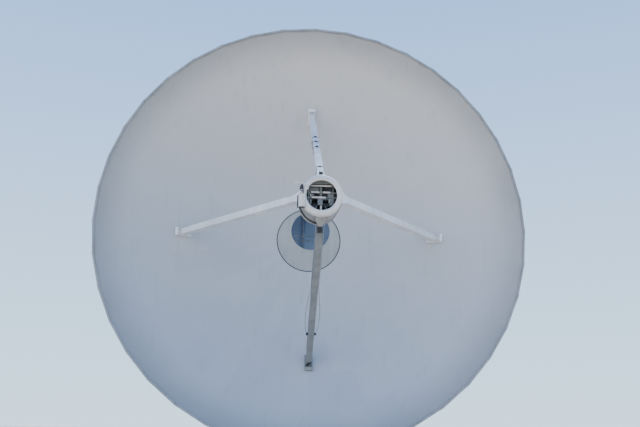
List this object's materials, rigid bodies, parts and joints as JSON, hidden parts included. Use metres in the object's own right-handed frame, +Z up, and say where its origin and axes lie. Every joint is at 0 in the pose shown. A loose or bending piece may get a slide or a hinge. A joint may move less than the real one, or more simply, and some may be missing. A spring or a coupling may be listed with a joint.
{
  "type": "radio telescope dish",
  "caption": "Steerable dish antenna: faceted round bowl on a ribbed frame, four box legs to a focus cabin, tipping on a slewing turntable and concrete tower.",
  "frame": {"origin": "centre of the plinth's underside, on the azimuth axis at ground level", "axes": "+Z up; the dish at rest looks along -Y with its axis level; +X to the right as seen from in front; the dish tips about an axis along X"},
  "size_m": [25, 20.1, 26.5],
  "materials": {
    "concrete": "matte",
    "door_paint": "satin",
    "dark_steel": "satin",
    "structure_paint": "satin",
    "cabin_paint": "satin",
    "galvanised": "satin",
    "reflector_paint": "matte",
    "leg_paint": "satin",
    "vertex_paint": "matte",
    "window_glass": "gloss"
  },
  "bodies": {
    "tower": {"plinth": "concrete", "tower_wall": "concrete", "tower_door": "door_paint", "door_step": "concrete", "tower_roof": "concrete", "slewing_ring_lower": "dark_steel"},
    "turntable": {"slewing_ring_upper": "dark_steel", "turntable_deck": "structure_paint", "arm_right": "structure_paint", "arm_left": "structure_paint", "bearing_right": "cabin_paint", "bearing_left": "cabin_paint", "azimuth_drive_right": "galvanised", "azimuth_drive_left": "galvanised", "elevation_pinion": "dark_steel", "drive_house": "structure_paint"},
    "dish": {"cradle": "structure_paint", "counterweight": "structure_paint", "elevation_gear": "dark_steel", "hub": "structure_paint", "vertex_plate": "vertex_paint", "vertex_window": "window_glass", "reflector_panel_1": "reflector_paint", "reflector_panel_2": "reflector_paint", "reflector_panel_3": "reflector_paint", "reflector_panel_4": "reflector_paint", "reflector_panel_5": "reflector_paint", "reflector_panel_6": "reflector_paint", "reflector_panel_7": "reflector_paint", "reflector_panel_8": "reflector_paint", "backing_frame_1": "structure_paint", "backing_frame_2": "structure_paint", "backing_frame_3": "structure_paint", "backing_frame_4": "structure_paint", "feed_leg_right": "leg_paint", "feed_leg_top": "leg_paint", "feed_leg_left": "leg_paint", "feed_leg_bottom": "leg_paint", "cabin_drum": "cabin_paint", "cabin_cowl": "cabin_paint", "cabin_floor": "cabin_paint", "cabin_rack": "galvanised", "cabin_side_box": "cabin_paint", "receiver": "galvanised", "feed_horn": "galvanised"}
  },
  "joints": [
    {"name": "azimuth_turn", "type": "hinge", "parent": "tower", "child": "turntable", "pos_m": [0, 0, 5.85], "axis": [0, 0, 1], "range_deg": [-270, 270]},
    {"name": "elevation_tip", "type": "hinge", "parent": "turntable", "child": "dish", "pos_m": [0, 0, 14], "axis": [-1, 0, 0], "range_deg": [0, 88]}
  ]
}
